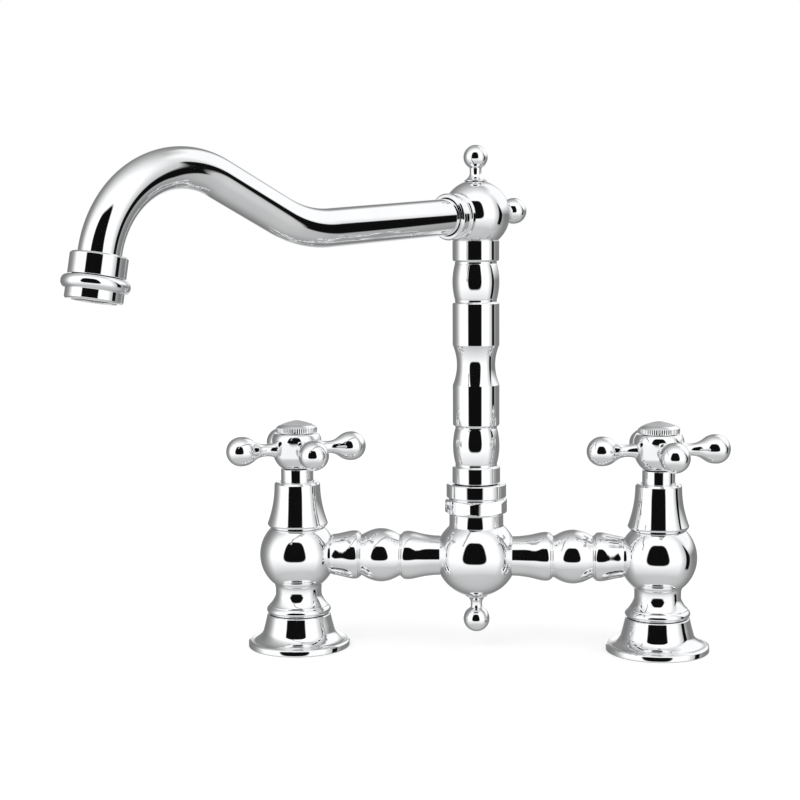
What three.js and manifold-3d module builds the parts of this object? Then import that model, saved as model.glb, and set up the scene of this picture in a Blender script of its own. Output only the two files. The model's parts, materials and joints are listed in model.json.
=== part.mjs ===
// Bridge kitchen faucet: two quarter-turn valves on feet, joined by a bridge,
// with a turned column and a swan-neck spout that swivels on the bridge.
// Millimetres, +Z up. The origin lies on the deck, midway between the two inlets;
// -X is the hot side, +X the cold side and -Y faces the user.

import * as THREE from 'three';
import { mergeVertices } from 'three/addons/utils/BufferGeometryUtils.js';
import Module from 'manifold-3d';

const wasm = await Module();
wasm.setup();

// ---------------------------------------------------------------- driving dimensions

// Fits
const seatGap = 0.3;              // between faces that seat on each other
const runGap = 0.3;               // radial play of spigots, shafts and turning fits
const tubePlay = 0.6;             // radial play of the spout tube in its two sockets

// Layout
const inletSpacing = 203.2;       // hot to cold inlet centres
const bridgeHeight = 53;          // deck to the bridge's axis
const spoutAngle = -130;          // spout's heading from +X, degrees
const hotHandleAngle = 25;        // turn of the hot cross handle, degrees
const coldHandleAngle = 11;       // turn of the cold cross handle, degrees

// Feet
const footRadius = 29;
const footRim = 3.2;              // height of the flange's outer edge
const skirtFoot = 9.4;            // height at which the flange runs into the skirt
const footHeight = 19;
const skirtBaseRadius = 20.4;
const skirtTopRadius = 17.8;
const footWall = 2.6;
const gasketLand = 1.5;            // cavity's wall to the gasket's groove
const gasketWidth = 2.9;
const gasketThickness = 1.2;

// Valve bodies
const shankRadius = 11;           // threaded shank between the valve body and the tail
const shankLift = 3;              // deck to the shank's lower end
const inletRadius = 8.2;          // socket that the supply tail screws into
const inletDepth = 14;
const shankEngage = 5;            // length of shank that screws into the valve body
const waterwayRadius = 5.5;
const beadRadius = 18.25;
const beadHeight = 4.6;
const neckRadius = 13.1;
const valveBallRadius = 21.8;
const throatAngle = 40;           // ball's axis to the edge where the neck begins, degrees
const bonnetSeat = 15.6;          // bridge axis to the flat that carries the bonnet
const valveBore = 10.2;
const valveFloor = 7;             // bridge axis down to the floor of the valve bore

// Cartridges
const cartridgeFlangeRadius = 12.3;
const cartridgeFlangeHeight = 2.4;
const cartridgeNeckRadius = 6.5;
const discRadius = 5.7;
const discThickness = 2;
const portSweep = 78;             // opening angle of each port in the fixed disc
const notchSweep = 90;            // opening angle of each notch in the moving disc
const lobeHub = 2.4;              // radius of the moving disc's middle, between its notches
const sealThickness = 2;
const spindleRadius = 3.6;
const spindleFootHeight = 2.4;
const spindleSquare = 6;
const glandRise = 4;              // top of the disc chamber to the spindle's O-ring
const oRing = 1.6;                // section of the small O-rings
const windowHeight = 4;
const windowWidth = 7;
const driveWidth = 2;             // the spindle's tang and its slot in the moving disc
const shoulderDrop = 6;           // bonnet's lip down to the end of the cartridge's cone

// Bonnets
const bonnetRadius = 17.2;
const bonnetMidRadius = 14.3;
const bonnetTopRadius = 13.1;
const bonnetHeight = 26;
const bonnetWall = 1.9;
const bonnetLipHeight = 2.6;

// Cross handles
const sleeveRadius = 9.2;
const sleeveShow = 7.4;           // height of sleeve between bonnet and hub
const sleeveWall = 2.2;
const hubFootRadius = 8.8;
const hubMidRadius = 13.3;
const hubRadius = 14.1;
const hubHeight = 20;
const hubWeb = 3;                 // floor under the handle screw's head
const hubRecessDepth = 6.5;
const armReach = 32.5;            // hub axis to the centre of an arm's ball
const armBallRadius = 8.4;
const armNeckRadius = 3.5;
const armShoulderAngle = 50;      // arm's axis to the edge where its neck meets the ball
const armRise = 10.9;             // hub's foot to the arms' axis
const screwHeadRadius = 4.2;
const screwHeadHeight = 2.6;
const screwRadius = 1.9;
const screwLength = 10;
const indexRadius = 11.6;
const indexBandHeight = 3;
const indexBevelHeight = 1.6;
const indexSpigotRadius = 8.7;
const domeRadius = 8.3;
const domeHeight = 3.6;

// Bridge arms
const portRadius = 6.5;
const armSpigotRadius = 9;
const armSealWall = 1;            // radial thickness of the seals on the spigots' noses
const armEndRadius = 11.2;
const armSeatDepth = 0.9;         // depth of the spot face that an arm sits in
const socketWall = 0.9;           // between a socket's floor and the bore behind it
const armBeadRadius = 15.3;
const armBeadHalf = 10.2;
const armBeadOffset = 1.3;        // bead's centre outward from the arm's middle
const armGrooveRadius = 11.9;
const armLipRadius = 13.9;
const armLipHalf = 15.3;          // bead's centre to each lip's crown

// Centre body and union
const centreBallRadius = 23.2;
const unionNeckRadius = 15.3;
const unionRise = 24.6;           // bridge axis to the union's shoulder
const threadRadius = 13.4;
const threadHeight = 8.4;
const nutCorner = 18.5;           // nut's axis to a corner
const nutHexHeight = 8;
const nutGroove = 1.1;
const nutCollarRadius = 16.9;
const nutCollarHeight = 7.5;
const nutLip = 4;
const nutTurn = -8.8;             // turn of the nut, degrees
const swivelBushWall = 1.5;
const retainerThickness = 1.5;
const columnORing = 2.2;          // section of the column's O-rings

// Column
const spigotRadius = 10.2;
const columnBore = 7.4;
const collarRadius = 13.5;
const collarHeight = 9.4;
const grooveRadius = 11.75;
const grooveHeight = 1.7;
const bulgeRadius = 13.1;
const bulgeHeight = 19.6;
const barrelRadius = 13.1;
const lowerBarrelHeight = 22.8;
const upperBarrelHeight = 23.6;
const waistRadius = 10.8;
const waistHeight = 22.4;
const topCollarRadius = 13.05;
const topCollarHeight = 11.6;
const headSpigotRadius = 9;
const headSpigotHeight = 3.4;

// Head, finials and spout collar
const headRadius = 19;
const headSeat = 13.7;            // head's centre down to the column's top face
const headCavityRadius = 11;
const finialSeat = 17.9;          // ball centre to the flat under a finial
const topFinialBall = 6.75;
const sideFinialBall = 7.4;       // rear and bottom finials
const finialWaist = 6.7;          // seat to the underside of the finial's ball
const finialFlangeRadius = 6.4;
const finialNeckRadius = 3.2;
const studRadius = 3;
const studLength = 5;
const spoutCollarRadius = 12.75;
const spoutCollarSeat = 13.3;     // head's centre to the collar's back face
const collarRing = 3.4;           // width of each of the collar's two rings
const collarGap = 3.6;            // width of the groove between the rings
const collarSpigotRadius = 9.6;
const collarSpigotLength = 4.4;

// Spout, in its own upright plane
const spoutDrop = 3.7;            // fall of the first run, degrees
const tubeRadius = 9.95;
const tubeWall = 1.2;
const tubeSocketDepth = 6;        // length of tube inside the collar and the sleeve
const firstRun = 86.9;            // collar to the lower bend
const lowerBendRadius = 69.2;
const climb = 24.6;                 // slope of the middle run, degrees
const middleRun = 41.6;
const archRadius = 48.4;
const outletLean = 10.7;           // outlet's lean from straight down, degrees

// Outlet
const sleeveOuter = 13.2;
const sleeveHeight = 10;
const outletThread = 11.1;
const outletThreadHeight = 4.4;
const beadRingRadius = 15.7;
const beadRingHeight = 6.2;
const outletSkirtRadius = 13.3;
const insertHeight = 4;
const washerThickness = 1;
const insertCell = 2.8;           // axis to a corner of each cell in the insert
const insertRib = 0.9;            // wall between two cells

// Facets round the turned pieces and along the spout
const broad = 16;
const upright = 14;
const middling = 12;
const slim = 10;
const armSides = 8;
const tubeSteps = 18;
const tubeSides = 10;

// ---------------------------------------------------------------- worked-out places

const shankTop = footHeight + seatGap;
const bonnetSeatZ = bridgeHeight + bonnetSeat;
const bonnetFootZ = bonnetSeatZ + seatGap;
const bonnetTopZ = bonnetFootZ + bonnetHeight;
const sleeveTopZ = bonnetTopZ + sleeveShow;
const hubFootZ = sleeveTopZ + seatGap;
const hubTopZ = hubFootZ + hubHeight;
const hubRecessZ = hubTopZ - hubRecessDepth;
const squareTopZ = hubRecessZ - hubWeb;
const valveFloorZ = bridgeHeight - valveFloor;
const fixedDiscZ = valveFloorZ + sealThickness + 2 * seatGap;
const movingDiscZ = fixedDiscZ + discThickness + seatGap;
const spindleFootZ = movingDiscZ + discThickness + seatGap;
const chamberTopZ = spindleFootZ + spindleFootHeight + seatGap;
const indexFootZ = hubTopZ + seatGap;
const indexLedgeZ = indexFootZ + indexBandHeight;
const counterboreRadius = armEndRadius + runGap;
const centreBore = spigotRadius + runGap;
const unionShoulderZ = bridgeHeight + unionRise;
const threadTopZ = unionShoulderZ + threadHeight;
const nutFootZ = unionShoulderZ + seatGap;
const nutTopZ = nutFootZ + nutHexHeight + nutGroove + nutCollarHeight;
const nutLipZ = nutTopZ - nutLip;
const columnFootZ = bridgeHeight + portRadius + 2;
const oRingPitch = columnORing + 2 * seatGap + 1.2;
const bushSeatZ = columnFootZ + 2 * oRingPitch + 1.2;
const retainerZ = (threadTopZ + nutLipZ - retainerThickness) / 2;
const columnZ = nutTopZ + seatGap;
const columnTopZ = columnZ + collarHeight + 4 * grooveHeight + 2 * bulgeHeight
  + lowerBarrelHeight + waistHeight + upperBarrelHeight + topCollarHeight;
const headZ = columnTopZ + seatGap + headSeat;
const bushRadius = centreBore + swivelBushWall;
const collarTubeSeat = spoutCollarSeat + 2 * collarRing + collarGap - tubeSocketDepth;

// ---------------------------------------------------------------- shape helpers

const radians = THREE.MathUtils.degToRad;

function weld(geometry) {
  const bare = new THREE.BufferGeometry();
  bare.setAttribute('position', geometry.getAttribute('position'));
  bare.setIndex(geometry.index);
  const merged = mergeVertices(bare, 1e-4);
  const corners = merged.index.array;
  const kept = [];
  for (let i = 0; i < corners.length; i += 3) {
    const [a, b, c] = corners.slice(i, i + 3);
    if (a !== b && b !== c && c !== a) kept.push(a, b, c);
  }
  merged.setIndex(kept);
  return merged;
}

function toSolid(geometry) {
  const { attributes, index } = weld(geometry);
  return new wasm.Manifold(new wasm.Mesh({
    numProp: 3,
    vertProperties: new Float32Array(attributes.position.array),
    triVerts: new Uint32Array(index.array),
  }));
}

function toGeometry(solid) {
  const mesh = solid.getMesh();
  const geometry = new THREE.BufferGeometry();
  geometry.setAttribute('position', new THREE.BufferAttribute(mesh.vertProperties, 3));
  geometry.setIndex(new THREE.BufferAttribute(mesh.triVerts, 1));
  return geometry;
}

function cut(geometry, ...tools) {
  return toGeometry(tools.reduce((rest, tool) => rest.subtract(toSolid(tool)), toSolid(geometry)));
}

function join(geometry, ...others) {
  return toGeometry(others.reduce((sum, other) => sum.add(toSolid(other)), toSolid(geometry)));
}

function common(geometry, other) {
  return toGeometry(toSolid(geometry).intersect(toSolid(other)));
}

// A body turned about Z. The profile is a list of [radius, height], anticlockwise,
// that starts and ends on the axis.
function turned(profile, segments) {
  const points = profile.map(([r, z]) => new THREE.Vector2(r, z));
  return new THREE.LatheGeometry(points, segments).rotateX(Math.PI / 2);
}

// A turned body with a hole through it: its profile closes on itself.
function turnedRing(profile, segments) {
  return turned([...profile, profile[0]], segments);
}

function plainRing(inner, outer, low, high, segments) {
  return turnedRing([[inner, low], [outer, low], [outer, high], [inner, high]], segments);
}

function plainRod(radius, low, high, segments) {
  return turned([[0, low], [radius, low], [radius, high], [0, high]], segments);
}

function block(width, depth, low, high) {
  return new THREE.BoxGeometry(width, depth, high - low).translate(0, 0, (low + high) / 2);
}

// Quarter of an ellipse between two profile points; it leaves the first one upright.
function coveUp([r0, z0], [r1, z1], steps) {
  return Array.from({ length: steps + 1 }, (_, i) => {
    const t = (i / steps) * Math.PI / 2;
    return [r0 + (r1 - r0) * (1 - Math.cos(t)), z0 + (z1 - z0) * Math.sin(t)];
  });
}

// Quarter of an ellipse between two profile points; it leaves the first one level.
function coveOut([r0, z0], [r1, z1], steps) {
  return Array.from({ length: steps + 1 }, (_, i) => {
    const t = (i / steps) * Math.PI / 2;
    return [r0 + (r1 - r0) * Math.sin(t), z0 + (z1 - z0) * (1 - Math.cos(t))];
  });
}

// Even swell between two profile points, up to a crown radius halfway.
function swell([r0, z0], [r1, z1], crown, steps) {
  return Array.from({ length: steps + 1 }, (_, i) => {
    const s = i / steps;
    const rise = 4 * s * (1 - s) * (crown - (r0 + r1) / 2);
    return [r0 + (r1 - r0) * s + rise, z0 + (z1 - z0) * s];
  });
}

// Part of a ball's outline, from one height above its centre to another.
function ballArc(radius, centre, from, to, steps) {
  const start = Math.asin(from / radius);
  const end = Math.asin(to / radius);
  return Array.from({ length: steps + 1 }, (_, i) => {
    const t = start + (end - start) * i / steps;
    const r = i === steps && to === radius ? 0 : radius * Math.cos(t);
    return [r, centre + radius * Math.sin(t)];
  });
}

// Turns a body from the Z axis onto the X axis.
const alongX = (geometry) => geometry.rotateY(Math.PI / 2);

// ---------------------------------------------------------------- feet

function foot() {
  const cavityBase = skirtBaseRadius - footWall;
  const cavityTop = skirtTopRadius - footWall;
  const grooveInner = cavityBase + gasketLand;
  const grooveOuter = grooveInner + gasketWidth + 2 * seatGap;
  const grooveTop = gasketThickness + seatGap;
  const flangeTop = footRim + 0.9;
  const coveFoot = footRadius - 6;
  return turnedRing([
    [cavityBase, 0], [grooveInner, 0], [grooveInner, grooveTop], [grooveOuter, grooveTop],
    [grooveOuter, 0], [footRadius, 0], [footRadius, footRim], [footRadius - 0.9, flangeTop],
    ...coveOut([coveFoot, flangeTop + 0.6], [skirtBaseRadius, skirtFoot], 2),
    [skirtTopRadius, footHeight],
    [shankRadius + runGap, footHeight], [shankRadius + runGap, footHeight - footWall],
    [cavityTop, footHeight - footWall], [cavityBase, skirtFoot - footWall],
  ], upright);
}

function gasket() {
  const inner = skirtBaseRadius - footWall + gasketLand + seatGap;
  return plainRing(inner, inner + gasketWidth, 0, gasketThickness, upright);
}

// ---------------------------------------------------------------- valve bodies

// Cuts for one end of a bridge arm, reaching in from a ball's surface along +X:
// the spot face, the socket for the arm's spigot and the port into the bore.
const armSeat = (ballRadius) => Math.sqrt(ballRadius ** 2 - counterboreRadius ** 2) - armSeatDepth;

function armSocket(ballRadius, bore) {
  const seat = armSeat(ballRadius);
  const floor = bore + socketWall;
  const outside = ballRadius + 2;
  return alongX(turned([
    [0, 0], [portRadius, 0], [portRadius, floor], [armSpigotRadius + runGap, floor],
    [armSpigotRadius + runGap, seat], [counterboreRadius, seat],
    [counterboreRadius, outside], [0, outside],
  ], slim)).translate(0, 0, bridgeHeight);
}

function valveBody() {
  const socket = shankRadius + runGap;
  const socketTop = shankTop + shankEngage;
  const beadTop = shankTop + beadHeight;
  const ballFoot = -valveBallRadius * Math.cos(radians(throatAngle));
  const throat = (beadTop + bridgeHeight + ballFoot) / 2;
  const casting = turnedRing([
    [socket, shankTop],
    ...swell([beadRadius - 0.9, shankTop], [beadRadius - 0.9, beadTop - 0.4], beadRadius, 2),
    ...coveOut([beadRadius - 1.6, beadTop], [neckRadius, throat], 2),
    ...ballArc(valveBallRadius, bridgeHeight, ballFoot, bonnetSeat, 5),
    [valveBore, bonnetSeatZ], [valveBore, valveFloorZ], [waterwayRadius, valveFloorZ],
    [waterwayRadius, socketTop], [socket, socketTop],
  ], upright);
  return cut(casting, armSocket(valveBallRadius, valveBore));
}

// Threaded tail of the valve body: the supply tail screws into it from below.
function inletShank() {
  const end = shankTop + shankEngage - seatGap;
  const floor = shankLift + inletDepth;
  return turnedRing([
    [inletRadius, shankLift], [shankRadius, shankLift], [shankRadius, end],
    [waterwayRadius, end], [waterwayRadius, floor], [inletRadius, floor],
  ], upright);
}

// ---------------------------------------------------------------- cartridges

function cartridgeBody() {
  const lowZ = valveFloorZ + seatGap;
  const chamber = discRadius + 2 * runGap;
  const outer = chamber + 2.4;
  const glandZ = chamberTopZ + glandRise;
  const glandTop = glandZ + oRing + 2 * seatGap;
  const flangeZ = bonnetSeatZ + seatGap;
  const flangeTop = flangeZ + cartridgeFlangeHeight;
  const shoulderZ = bonnetTopZ - bonnetLipHeight - shoulderDrop;
  const thread = valveBore - 0.4;
  const bore = spindleRadius + runGap;
  const shell = turnedRing([
    [chamber, lowZ], [outer, lowZ], [outer, chamberTopZ], [thread, chamberTopZ + 1],
    [thread, flangeZ], [cartridgeFlangeRadius, flangeZ], [cartridgeFlangeRadius, flangeTop],
    [thread - 1, flangeTop], [cartridgeNeckRadius, shoulderZ],
    [cartridgeNeckRadius, bonnetTopZ + 1], [bore, bonnetTopZ + 1], [bore, glandTop],
    [bore + oRing + 0.2, glandTop], [bore + oRing + 0.2, glandZ], [bore, glandZ],
    [bore, chamberTopZ], [chamber, chamberTopZ],
  ], slim);
  const windows = block(4 * outer, windowWidth, movingDiscZ, movingDiscZ + windowHeight);
  return cut(shell, windows);
}

function seatSeal() {
  const low = valveFloorZ + seatGap;
  return plainRing(discRadius - 1.9, discRadius, low, low + sealThickness, slim);
}

// A sector of a flat disc, centred on +X, that runs a little past the disc's rim.
function sector(inner, outer, sweep, low, high) {
  const half = radians(sweep / 2);
  const shape = new THREE.Shape();
  shape.absarc(0, 0, outer, -half, half, false);
  shape.absarc(0, 0, inner, half, -half, true);
  const flat = { depth: high - low, bevelEnabled: false, curveSegments: 3 };
  return new THREE.ExtrudeGeometry(shape, flat).translate(0, 0, low);
}

function fixedDisc() {
  const top = fixedDiscZ + discThickness;
  const port = () => sector(1.6, discRadius - 1, portSweep, fixedDiscZ - 1, top + 1);
  return cut(plainRod(discRadius, fixedDiscZ, top, slim), port(), port().rotateZ(Math.PI));
}

// Bow-tie disc: at rest its two lobes cover the ports, a quarter turn opens them.
function movingDisc() {
  const top = movingDiscZ + discThickness;
  const notch = () => sector(lobeHub, discRadius + 1, notchSweep, movingDiscZ - 1, top + 1);
  const slot = block(2 * discRadius - 3, driveWidth + 2 * runGap, top - 1, top + 1);
  return cut(plainRod(discRadius, movingDiscZ, top, slim), slot,
    notch().rotateZ(Math.PI / 2), notch().rotateZ(-Math.PI / 2));
}

function spindle() {
  const footTop = spindleFootZ + spindleFootHeight;
  const squareFootZ = sleeveTopZ - seatGap;
  const shaft = turned([
    [0, spindleFootZ], [discRadius, spindleFootZ], [discRadius, footTop],
    [spindleRadius, footTop], [spindleRadius, squareFootZ], [0, squareFootZ],
  ], slim);
  const squareEnd = squareTopZ - seatGap;
  const square = block(spindleSquare, spindleSquare, squareFootZ - 2, squareEnd);
  const tang = block(2 * discRadius - 4, driveWidth, spindleFootZ - 1, spindleFootZ + 1);
  const tapped = plainRod(screwRadius + runGap, squareEnd - screwLength, squareEnd + 1, 8);
  return cut(join(shaft, square, tang), tapped);
}

function spindleORing() {
  const low = chamberTopZ + glandRise + seatGap;
  return plainRing(spindleRadius + 0.4, spindleRadius + 0.2 + oRing, low, low + oRing, slim);
}

// ---------------------------------------------------------------- bonnets

function bonnet() {
  const hole = sleeveRadius + runGap;
  const flangeBore = cartridgeFlangeRadius + 2 * runGap;
  const lipZ = bonnetTopZ - bonnetLipHeight;
  const crownZ = bonnetFootZ + 2.1;
  const flare = swell([bonnetRadius, crownZ], [bonnetTopRadius, bonnetTopZ - 3],
    bonnetMidRadius, 3);
  return turnedRing([
    [flangeBore, bonnetFootZ], [bonnetRadius - 1, bonnetFootZ],
    [bonnetRadius - 0.2, bonnetFootZ + 1.1],
    ...flare,
    [bonnetTopRadius - 0.2, bonnetTopZ - 0.8], [bonnetTopRadius - 0.9, bonnetTopZ],
    [hole, bonnetTopZ], [hole, lipZ], [bonnetTopRadius - bonnetWall, lipZ],
    [bonnetTopRadius - bonnetWall + 0.4, (lipZ + crownZ) / 2],
    [flangeBore, bonnetFootZ + cartridgeFlangeHeight + 3],
  ], upright);
}

// ---------------------------------------------------------------- cross handles

function handleSleeve() {
  const low = bonnetTopZ - bonnetLipHeight;
  const inner = sleeveRadius - sleeveWall;
  return turnedRing([
    [inner, low], [sleeveRadius, low], [sleeveRadius, sleeveTopZ], [inner, sleeveTopZ],
  ], slim);
}

function handleArm() {
  const root = hubRadius - 4;
  const waist = (hubRadius + armReach - armBallRadius) / 2 - 0.9;
  const shoulder = -armBallRadius * Math.cos(radians(armShoulderAngle));
  return alongX(turned([
    [0, root], [armNeckRadius + 1.5, root], [armNeckRadius, waist], [armNeckRadius + 0.9, waist + 4.5],
    ...ballArc(armBallRadius, armReach, shoulder, armBallRadius, 4),
  ], armSides)).translate(0, 0, hubFootZ + armRise);
}

function crossHandle() {
  const recess = indexSpigotRadius + runGap;
  const widest = hubTopZ - 3.4;
  const hub = turnedRing([
    [screwRadius + runGap, hubFootZ],
    ...swell([hubFootRadius, hubFootZ], [hubRadius, widest], hubMidRadius, 4),
    [hubRadius - 0.4, hubTopZ - 1.6], [hubRadius - 1.8, hubTopZ],
    [recess, hubTopZ], [recess, hubRecessZ], [screwRadius + runGap, hubRecessZ],
  ], slim);
  const arms = [0, 1, 2, 3].map((i) => handleArm().rotateZ(i * Math.PI / 2));
  const side = spindleSquare + 2 * runGap;
  return cut(join(hub, ...arms), block(side, side, hubFootZ - 1, squareTopZ));
}

function handleScrew() {
  const seat = hubRecessZ + seatGap;
  return turned([
    [0, seat - screwLength], [screwRadius, seat - screwLength], [screwRadius, seat],
    [screwHeadRadius, seat], [screwHeadRadius, seat + screwHeadHeight - 0.6],
    [screwHeadRadius - 0.7, seat + screwHeadHeight], [0, seat + screwHeadHeight],
  ], slim);
}

function indexRing() {
  const bevelTop = indexLedgeZ + indexBevelHeight;
  const ledgeInner = domeRadius - 1.8;
  const low = indexFootZ - hubRecessDepth + screwHeadHeight;
  return turnedRing([
    [ledgeInner, low], [indexSpigotRadius, low], [indexSpigotRadius, indexFootZ],
    [indexRadius, indexFootZ], [indexRadius, indexLedgeZ + 0.2],
    [domeRadius + runGap + 0.5, bevelTop], [domeRadius + runGap, bevelTop],
    [domeRadius + runGap, indexLedgeZ], [ledgeInner, indexLedgeZ],
  ], slim);
}

function indexDome() {
  const low = indexLedgeZ + seatGap;
  const rim = low + indexBevelHeight;
  return turned([
    [0, low], [domeRadius, low],
    ...coveUp([domeRadius, rim], [0, low + domeHeight], 3),
  ], slim);
}

// ---------------------------------------------------------------- bridge arms

// One arm, along +X from the bridge's middle, at the height of the bridge's axis.
const innerSeat = armSeat(centreBallRadius) + seatGap;
const outerSeat = inletSpacing / 2 - armSeat(valveBallRadius) - seatGap;
const innerSpigotEnd = centreBore + socketWall + seatGap;
const outerSpigotEnd = inletSpacing / 2 - valveBore - socketWall - seatGap;

function bridgeArm() {
  const bead = (innerSeat + outerSeat) / 2 + armBeadOffset;
  const nose = armSpigotRadius - armSealWall - seatGap;
  const rebate = oRing + seatGap;
  const lip = (crown, toEnd) => [
    [armGrooveRadius, crown - toEnd * 4], [armLipRadius - 0.4, crown - toEnd * 1.8],
    [armLipRadius, crown], [armLipRadius - 0.7, crown + toEnd * 3],
  ];
  return alongX(turnedRing([
    [portRadius, innerSpigotEnd], [nose, innerSpigotEnd], [nose, innerSpigotEnd + rebate],
    [armSpigotRadius, innerSpigotEnd + rebate],
    [armSpigotRadius, innerSeat], [armEndRadius, innerSeat],
    [armEndRadius + 0.2, innerSeat + 4.5],
    ...lip(bead - armLipHalf, -1).reverse(),
    ...swell([armGrooveRadius, bead - armBeadHalf], [armGrooveRadius, bead + armBeadHalf],
      armBeadRadius, 4),
    ...lip(bead + armLipHalf, 1),
    [armEndRadius + 0.2, outerSeat - 4.5],
    [armEndRadius, outerSeat], [armSpigotRadius, outerSeat],
    [armSpigotRadius, outerSpigotEnd - rebate],
    [nose, outerSpigotEnd - rebate], [nose, outerSpigotEnd], [portRadius, outerSpigotEnd],
  ], slim)).translate(0, 0, bridgeHeight);
}

// Ring on the nose of an arm's spigot, against the floor of its socket.
function armSeal(low) {
  const inner = armSpigotRadius - armSealWall;
  return alongX(plainRing(inner, armSpigotRadius, low, low + oRing, slim))
    .translate(0, 0, bridgeHeight);
}

// ---------------------------------------------------------------- centre body and union

const centreFlatZ = bridgeHeight - centreBallRadius + headRadius - finialSeat;

function centreBody() {
  const studHoleTop = centreFlatZ + studLength + seatGap;
  const chamberFloor = bridgeHeight - armSpigotRadius - 2;
  const neckFoot = Math.sqrt(centreBallRadius ** 2 - unionNeckRadius ** 2);
  const casting = turned([
    [0, studHoleTop], [studRadius + runGap, studHoleTop], [studRadius + runGap, centreFlatZ],
    ...ballArc(centreBallRadius, bridgeHeight, centreFlatZ - bridgeHeight, neckFoot, 6),
    [unionNeckRadius, unionShoulderZ],
    [threadRadius, unionShoulderZ], [threadRadius, threadTopZ],
    [bushRadius, threadTopZ], [bushRadius, bushSeatZ], [centreBore, bushSeatZ],
    [centreBore, chamberFloor], [0, chamberFloor],
  ], broad);
  const socket = () => armSocket(centreBallRadius, centreBore);
  return cut(casting, socket(), socket().rotateZ(Math.PI));
}

function unionNut() {
  const hexTop = nutFootZ + nutHexHeight;
  const collarZ = hexTop + nutGroove;
  const flat = nutCorner * Math.cos(Math.PI / 6);
  const prism = new THREE.CylinderGeometry(nutCorner, nutCorner, nutHexHeight, 6)
    .rotateX(Math.PI / 2).translate(0, 0, nutFootZ + nutHexHeight / 2)
    .rotateZ(radians(nutTurn));
  const chamfer = turned([
    [0, nutFootZ], [flat + 0.5, nutFootZ], [nutCorner + 0.6, nutFootZ + 1.2],
    [nutCorner + 0.6, hexTop - 1.2], [flat + 0.5, hexTop], [0, hexTop],
  ], broad);
  const upper = turned([
    [0, hexTop - 1], [nutCollarRadius - 1, hexTop - 1], [nutCollarRadius - 1, collarZ],
    [nutCollarRadius, collarZ],
    [nutCollarRadius, nutTopZ - 0.5], [nutCollarRadius - 0.5, nutTopZ], [0, nutTopZ],
  ], broad);
  const bore = turned([
    [0, nutFootZ - 1], [threadRadius + 0.4, nutFootZ - 1], [threadRadius + 0.4, nutLipZ],
    [spigotRadius + runGap, nutLipZ], [spigotRadius + runGap, nutTopZ + 1], [0, nutTopZ + 1],
  ], broad);
  return cut(join(common(prism, chamfer), upper), bore);
}

function swivelBush() {
  return plainRing(spigotRadius + runGap, bushRadius - runGap, bushSeatZ + seatGap,
    threadTopZ - seatGap, broad);
}

// Split ring in the column's groove; it holds the column down under the nut's lip.
function retainingRing() {
  const inner = spigotRadius - 1;
  const ring = plainRing(inner, threadRadius - 0.2, retainerZ, retainerZ + retainerThickness,
    middling);
  const split = new THREE.BoxGeometry(2 * threadRadius, 3, 4)
    .translate(threadRadius, 0, retainerZ + retainerThickness / 2);
  return cut(ring, split);
}

function columnORingAt(level) {
  const low = columnFootZ + 1.2 + level * oRingPitch + seatGap;
  const inner = spigotRadius - columnORing + 0.6;
  return plainRing(inner, spigotRadius + 0.05, low, low + columnORing, upright);
}

// ---------------------------------------------------------------- column

function column() {
  const sealGroove = (level) => {
    const low = columnFootZ + 1.2 + level * oRingPitch;
    const high = low + columnORing + 2 * seatGap;
    const bottom = spigotRadius - columnORing + 0.3;
    return [[spigotRadius, low], [bottom, low], [bottom, high], [spigotRadius, high]];
  };
  const ringGroove = [
    [spigotRadius, retainerZ - seatGap], [spigotRadius - 1.3, retainerZ - seatGap],
    [spigotRadius - 1.3, retainerZ + retainerThickness + seatGap],
    [spigotRadius, retainerZ + retainerThickness + seatGap],
  ];
  const collarTop = columnZ + collarHeight;
  const lowBulge = collarTop + grooveHeight;
  const lowBarrel = lowBulge + bulgeHeight + grooveHeight;
  const waist = lowBarrel + lowerBarrelHeight;
  const topBarrel = waist + waistHeight;
  const topBulge = topBarrel + upperBarrelHeight + grooveHeight;
  const topCollar = topBulge + bulgeHeight + grooveHeight;
  const upperBarrelTop = topBarrel + upperBarrelHeight;
  const bulge = (z) => swell([grooveRadius, z], [grooveRadius, z + bulgeHeight], bulgeRadius, 3);
  return turnedRing([
    [columnBore, columnFootZ], [spigotRadius, columnFootZ],
    ...sealGroove(0), ...sealGroove(1), ...ringGroove,
    [spigotRadius, columnZ], [collarRadius, columnZ],
    [collarRadius, collarTop - 0.6], [collarRadius - 0.6, collarTop],
    ...bulge(lowBulge),
    [barrelRadius - 0.5, lowBarrel], [barrelRadius, lowBarrel + 1],
    ...swell([barrelRadius, waist], [barrelRadius, topBarrel], waistRadius, 4),
    [barrelRadius, upperBarrelTop - 1], [barrelRadius - 0.5, upperBarrelTop],
    ...bulge(topBulge),
    [topCollarRadius, topCollar],
    [topCollarRadius, columnTopZ - 0.6], [topCollarRadius - 0.6, columnTopZ],
    [headSpigotRadius, columnTopZ], [headSpigotRadius, columnTopZ + headSpigotHeight],
    [columnBore, columnTopZ + headSpigotHeight],
  ], upright);
}

// ---------------------------------------------------------------- head and finials

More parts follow.
